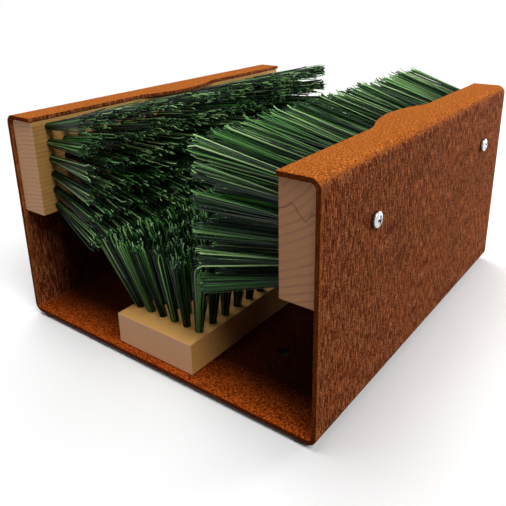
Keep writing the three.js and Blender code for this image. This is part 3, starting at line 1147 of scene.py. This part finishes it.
def cut_slots(bm, head_height):
    """Cuts two crossed slots in turn, because cutting with one crossed block fails."""
    for turn in (0, math.pi / 2):
        cutter = bmesh.new()
        slot = add_block(
            cutter, (-SLOT_REACH, -SLOT_HALF, head_height - SLOT_DEPTH),
            (SLOT_REACH, SLOT_HALF, head_height + 1 * MM),
        )
        for vert in slot:
            if vert.co.z < head_height:
                vert.co.x *= SLOT_TAPER[0]
                vert.co.y *= SLOT_TAPER[1]
        cutter.transform(Matrix.Rotation(turn, 4, "Z"))
        bm = cut_from(bm, cutter)
    return bm


def pan_head_screw(head_height):
    """A pan-head screw standing head up, its head's underside at Z = 0."""
    screw = bpy.context.scene.scraper_screw
    radius = screw.head / 2
    rim = RIM_SHARE * head_height
    dome = head_height - rim
    shank = screw.shank / 2
    tip = -(screw.reach + bpy.context.scene.scraper_sheet.thickness + SHANK_SPARE)
    profile = [
        (0, tip), (shank, tip + POINT_LENGTH), (shank, 0),
        (radius - HEAD_CHAMFER, 0), (radius, HEAD_CHAMFER),
    ]
    for step in range(DOME_STEPS + 1):
        angle = step / DOME_STEPS * math.pi / 2
        profile.append((radius * math.cos(angle), rim + dome * math.sin(angle)))
    bm = cut_slots(lathe(profile, LATHE_STEPS), head_height)
    grime_and_shade = bm.verts.layers.float.new("grime_and_shade")
    for vert in bm.verts:
        away = min(1, math.hypot(vert.co.x, vert.co.y) / radius)
        surface = rim + dome * math.sqrt(1 - away * away)
        recessed = vert.co.z < surface - RECESS_DEPTH and away < RECESS_SHARE
        low_down = RIM_SHADE_AND_GRIME * (1 - vert.co.z / rim)
        vert[grime_and_shade] = 1 if recessed else min(1, max(0, low_down))
    return bm


class SCRAPER_OT_screws(bpy.types.Operator):
    """Drive the screws that hold the wooden backs"""

    bl_idname = "scraper.screws"
    bl_label = "Screws"

    def execute(self, context):
        screw = context.scene.scraper_screw
        zinc = bright_zinc()
        for name, degrees in zip(screw_nodes(), SCREW_TURNS):
            on_floor = name.startswith("bottom")
            bm = pan_head_screw(screw.floor_head_height if on_floor else screw.head_height)
            seat, outwards = screw_seat(name)
            turn = Matrix.Rotation(math.radians(degrees), 4, "Z")
            upright = outwards.to_track_quat("Z", "Y").to_matrix().to_4x4()
            bm.transform(Matrix.Translation(seat + outwards * SEAT_GAP) @ upright @ turn)
            piece = finish_piece(bm, name + "_plated", [zinc], SHOWN_EDGE)
            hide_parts(name)
        return {"FINISHED"}


# Feet

FOOT_EDGE_STEPS = 5
FOOT_TOP_CHAMFER = 0.3 * MM


class SCRAPER_OT_feet(bpy.types.Operator):
    """Turn the four rubber feet"""

    bl_idname = "scraper.feet"
    bl_label = "Feet"

    def execute(self, context):
        foot = context.scene.scraper_foot
        rubber = black_rubber()
        for name in foot_nodes():
            low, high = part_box(name)
            radius = (high.x - low.x) / 2
            height = high.z - low.z
            profile = [(0, 0), (radius - foot.edge, 0)]
            for step in range(1, FOOT_EDGE_STEPS + 1):
                angle = step / FOOT_EDGE_STEPS * math.pi / 2
                profile.append((
                    radius - foot.edge * (1 - math.sin(angle)),
                    foot.edge * (1 - math.cos(angle)),
                ))
            profile += [
                (radius, height - FOOT_TOP_CHAMFER), (radius - FOOT_TOP_CHAMFER, height),
                (0, height),
            ]
            bm = lathe(profile, LATHE_STEPS)
            middle = (low + high) / 2
            bm.transform(Matrix.Translation((middle.x, middle.y, low.z)))
            piece = finish_piece(bm, name + "_rubber", [rubber], SHOWN_EDGE)
            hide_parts(name)
        return {"FINISHED"}


# Stage

# The fitted camera: the picture's width, the focal length and optical centre in its pixels,
# and then where the camera stands, where it looks and how it is rolled
PICTURE = 506
FOCAL_PIXELS = 601.64
PICTURE_CENTRE = (259.5, 193.2)
SENSOR = 36.0
CAMERA_PLACE = (0.2660, -0.3806, 0.2507)
LOOK = (-0.563009, 0.753594, -0.339288)
CAMERA_ROLL = math.radians(-0.842)

# Distant lamps: where each one lies, how wide it is in degrees, and its level
SUNS = {
    "key_light": ((0.56, -0.22, 0.80), 26, 0.47),
    "top_light": ((-0.18, -0.04, 0.97), 34, 0.42),
    "back_light": ((-0.45, 0.35, 0.82), 40, 0.24),
}

# Near lamps: the place, size and watts of each
LAMPS = {
    "side_lamp": ((0.65, 0.9, 0.3), 0.4, 5.9),
    "front_lamp": ((-0.1, -1.1, 0.14), 0.24, 1.75),
}
LAMPS_AIM = Vector((0, 0, 0.08))

AMBIENT_LEVEL = 0.025
FLOOR_HALF = 6
FLOOR_DROP = 0.2 * MM


def add_camera():
    """The camera stands where the photographer's did."""
    data = bpy.data.cameras.new("camera")
    data.sensor_width = SENSOR
    data.lens = FOCAL_PIXELS / PICTURE * SENSOR
    data.shift_x = (PICTURE / 2 - PICTURE_CENTRE[0]) / PICTURE
    data.shift_y = (PICTURE_CENTRE[1] - PICTURE / 2) / PICTURE
    data.clip_start = 0.01
    data.clip_end = 50
    camera = bpy.data.objects.new("camera", data)
    look = Vector(LOOK).to_track_quat("-Z", "Y").to_matrix().to_4x4()
    roll = Matrix.Rotation(CAMERA_ROLL, 4, "Z")
    camera.matrix_world = Matrix.Translation(CAMERA_PLACE) @ look @ roll
    bpy.context.scene.collection.objects.link(camera)
    bpy.context.scene.camera = camera


def add_lamp(name, place, size, power):
    """A soft square lamp that faces the middle of the scraper."""
    data = bpy.data.lights.new(name, "AREA")
    data.shape = "SQUARE"
    data.size = size
    data.energy = power
    lamp = bpy.data.objects.new(name, data)
    look = (LAMPS_AIM - Vector(place)).to_track_quat("-Z", "Y").to_matrix().to_4x4()
    lamp.matrix_world = Matrix.Translation(place) @ look
    bpy.context.scene.collection.objects.link(lamp)


def add_sun(name, towards, degrees, level):
    """A broad distant lamp; at level 1 a white surface that faces it shows white."""
    data = bpy.data.lights.new(name, "SUN")
    data.energy = math.pi * level
    data.angle = math.radians(degrees)
    lamp = bpy.data.objects.new(name, data)
    lamp.matrix_world = Vector(towards).to_track_quat("Z", "Y").to_matrix().to_4x4()
    bpy.context.scene.collection.objects.link(lamp)


def seen_rays(tree):
    """1 for camera, glossy and transmission rays, which see the background as white."""
    path = add_node(tree, "LightPath").outputs
    seen = path["Is Camera Ray"]
    for kind in ("Is Glossy Ray", "Is Transmission Ray"):
        seen = add_node(tree, "Math", {0: seen, 1: path[kind]}, operation="MAXIMUM").outputs[0]
    return seen


def paper_floor():
    """Matt paper: white to the camera, with its shadow kept, and dim grey to other rays."""
    material, tree, surface = new_material("paper_floor")
    colour = add_node(
        tree, "Mix",
        {MIX_FACTOR: seen_rays(tree), MIX_A: linear("#3a3a3a"), MIX_B: (1, 1, 1, 1)},
        data_type="RGBA",
    ).outputs[MIX_RESULT]
    paper = add_node(tree, "BsdfDiffuse", {"Color": colour}).outputs[0]
    tree.links.new(paper, surface)
    return material


class SCRAPER_OT_stage(bpy.types.Operator):
    """Set up the pale floor, the soft lamps, the white surroundings and the camera"""

    bl_idname = "scraper.stage"
    bl_label = "Stage"

    def execute(self, context):
        scene = context.scene
        scene.view_settings.view_transform = "Standard"
        bm = bmesh.new()
        bmesh.ops.create_grid(bm, x_segments=1, y_segments=1, size=FLOOR_HALF)
        bmesh.ops.translate(bm, verts=bm.verts, vec=(0, 0, -FLOOR_DROP))
        mesh = bpy.data.meshes.new("floor")
        bm.to_mesh(mesh)
        bm.free()
        mesh.materials.append(paper_floor())
        floor = bpy.data.objects.new("floor", mesh)
        scene.collection.objects.link(floor)
        world = bpy.data.worlds.new("surroundings")
        world.use_nodes = True
        tree = world.node_tree
        tree.nodes.clear()
        ambient, white = [
            add_node(tree, "Background", {"Color": (1, 1, 1, 1), "Strength": strength}).outputs[0]
            for strength in (AMBIENT_LEVEL, 1.0)
        ]
        mixed = add_node(tree, "MixShader", {0: seen_rays(tree), 1: ambient, 2: white}).outputs[0]
        add_node(tree, "OutputWorld", {"Surface": mixed})
        scene.world = world
        for name, settings in SUNS.items():
            add_sun(name, *settings)
        for name, settings in LAMPS.items():
            add_lamp(name, *settings)
        add_camera()
        return {"FINISHED"}


class SCRAPER_PT_panel(bpy.types.Panel):
    """Lists the steps that build the boot scraper"""

    bl_idname = "SCRAPER_PT_panel"
    bl_label = "Boot scraper"
    bl_space_type = "VIEW_3D"
    bl_region_type = "UI"
    bl_category = "Boot scraper"

    def draw(self, context):
        for step in STEPS:
            self.layout.operator(step.bl_idname)
        for group in GROUPS:
            settings = getattr(context.scene, group)
            for name in settings.bl_rna.properties.keys():
                if name not in ("rna_type", "name"):
                    self.layout.prop(settings, name)


STEPS = (
    SCRAPER_OT_stage, SCRAPER_OT_sheet, SCRAPER_OT_backs,
    SCRAPER_OT_bristles, SCRAPER_OT_screws, SCRAPER_OT_feet,
)
GROUPS = {
    "scraper_sheet": SheetSettings,
    "scraper_back": BackSettings,
    "scraper_tufts": TuftSettings,
    "scraper_screw": ScrewSettings,
    "scraper_foot": FootSettings,
}


def register():
    for name, group in GROUPS.items():
        bpy.utils.register_class(group)
        setattr(bpy.types.Scene, name, PointerProperty(type=group))
    for step in STEPS:
        bpy.utils.register_class(step)
    bpy.utils.register_class(SCRAPER_PT_panel)


def unregister():
    bpy.utils.unregister_class(SCRAPER_PT_panel)
    for step in reversed(STEPS):
        bpy.utils.unregister_class(step)
    for name, group in reversed(GROUPS.items()):
        delattr(bpy.types.Scene, name)
        bpy.utils.unregister_class(group)


def main():
    register()
    bpy.ops.scraper.stage()
    bpy.ops.scraper.sheet()
    bpy.ops.scraper.backs()
    bpy.ops.scraper.bristles()
    bpy.ops.scraper.screws()
    bpy.ops.scraper.feet()


if __name__ == "__main__":
    main()
